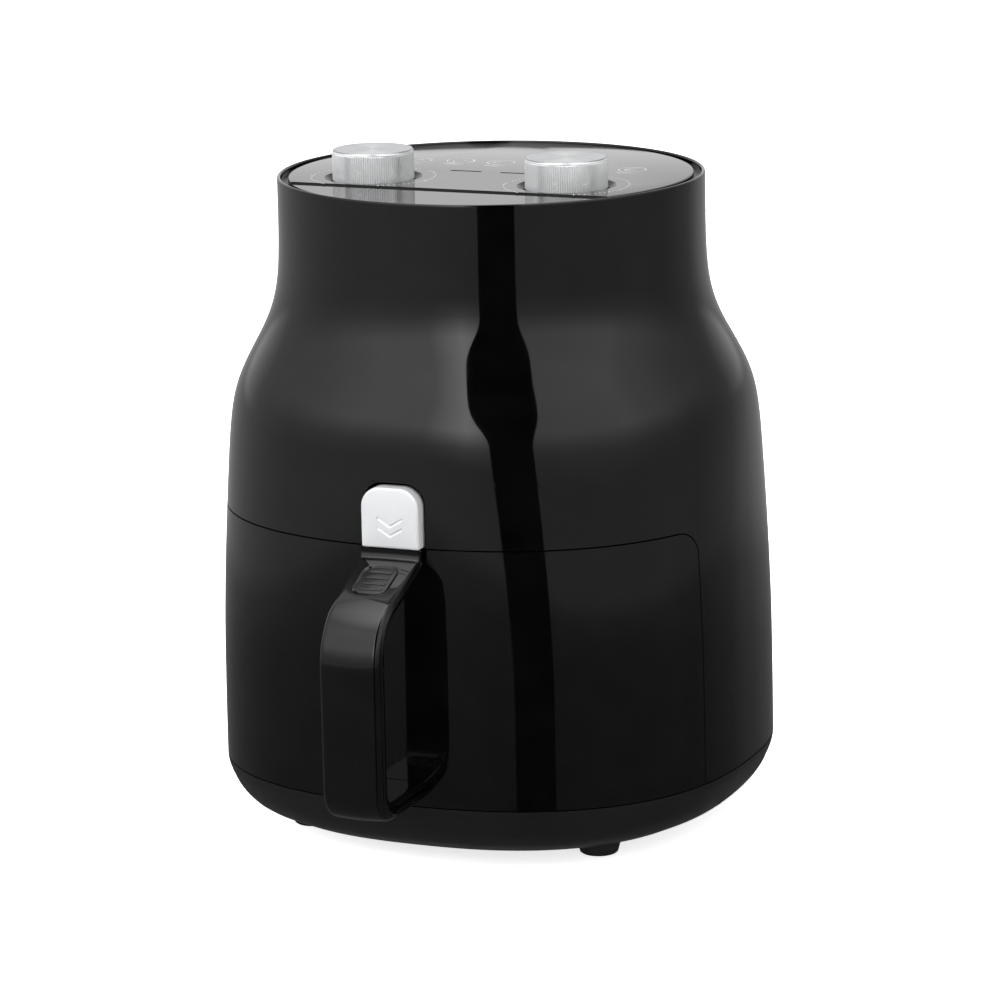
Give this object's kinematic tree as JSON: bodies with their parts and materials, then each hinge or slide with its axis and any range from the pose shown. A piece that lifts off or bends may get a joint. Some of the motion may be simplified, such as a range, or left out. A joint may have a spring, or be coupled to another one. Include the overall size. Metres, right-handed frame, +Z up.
{
  "type": "hot-air fryer",
  "caption": "Waisted countertop hot-air fryer with a pull-out drawer for pan and basket, a loop handle with release button, knobs on top, and heater, fan and motor inside.",
  "frame": {"origin": "centre of the footprint box, on the plane that the four feet stand on", "axes": "+Z up, the front with the drawer and handle faces -Y, +X to the right seen from the front"},
  "size_m": [0.27, 0.3214, 0.3416],
  "materials": {
    "gloss_black": "polished moulded ABS",
    "satin_black": "fine satin moulding",
    "panel": "back-printed gloss panel",
    "lens": "tinted acrylic",
    "spun_metal": "spun face and knurled side",
    "silver_plating": "satin silver plating",
    "rubber": "moulded rubber",
    "non_stick": "speckled non-stick coating on steel",
    "galvanised_sheet": "galvanised sheet",
    "steel": "bright steel",
    "heater_sheath": "heat-darkened sheath"
  },
  "bodies": {
    "housing": {"body_shell": "gloss_black", "base_cover": "satin_black", "rear_air_grille": "satin_black", "cord_gland": "satin_black", "panel_frame": "satin_black", "drawer_switch": "satin_black", "control_panel": "panel", "power_lens": "lens", "heating_lens": "lens", "foot_front_left": "rubber", "foot_front_right": "rubber", "foot_rear_left": "rubber", "foot_rear_right": "rubber", "inner_chamber": "galvanised_sheet", "chamber_top_plate": "galvanised_sheet", "heat_reflector": "galvanised_sheet", "motor_bracket": "galvanised_sheet", "timer_mechanism": "galvanised_sheet", "thermostat": "galvanised_sheet", "motor": "steel", "timer_bell": "steel", "heater_guard": "steel", "drawer_runner_left": "steel", "drawer_runner_right": "steel", "base_screw_front_left": "steel", "base_screw_front_right": "steel", "base_screw_rear_left": "steel", "base_screw_rear_right": "steel", "heating_element": "heater_sheath"},
    "fan_rotor": {"motor_shaft": "steel", "convection_fan": "galvanised_sheet", "cooling_fan": "satin_black", "fan_nut": "steel"},
    "drawer": {"drawer_front": "gloss_black", "frying_pan": "non_stick", "pan_bracket": "steel", "basket": "non_stick", "handle_bracket": "steel", "handle_outer_shell": "gloss_black", "handle_inner_shell": "gloss_black", "thumb_pad": "satin_black", "handle_screw_upper": "steel", "handle_screw_lower": "steel", "button_housing": "satin_black", "button_spring": "steel"},
    "release": {"release_button": "silver_plating"},
    "timer_dial": {"timer_knob": "spun_metal", "timer_shaft": "steel"},
    "temperature_dial": {"temperature_knob": "spun_metal", "thermostat_shaft": "steel"}
  },
  "joints": [
    {"name": "drawer_slide", "type": "slide", "parent": "housing", "child": "drawer", "axis": [0, -1, 0], "range_m": [0, 0.25]},
    {"name": "release_press", "type": "slide", "parent": "drawer", "child": "release", "axis": [0, 1, 0], "range_m": [0, 0.003], "stiffness_N_per_m": 400, "springref_m": -0.003, "deforming": ["button_spring"]},
    {"name": "timer_turn", "type": "hinge", "parent": "housing", "child": "timer_dial", "pos_m": [-0.0518, -0.001, 0.328], "axis": [0, 0, 1], "range_deg": [-300, 0]},
    {"name": "temperature_turn", "type": "hinge", "parent": "housing", "child": "temperature_dial", "pos_m": [0.0518, -0.001, 0.328], "axis": [0, 0, 1], "range_deg": [-270, 0]},
    {"name": "fan_spin", "type": "hinge", "parent": "housing", "child": "fan_rotor", "pos_m": [0, 0.0268, 0.198], "axis": [0, 0, 1], "continuous": true}
  ]
}
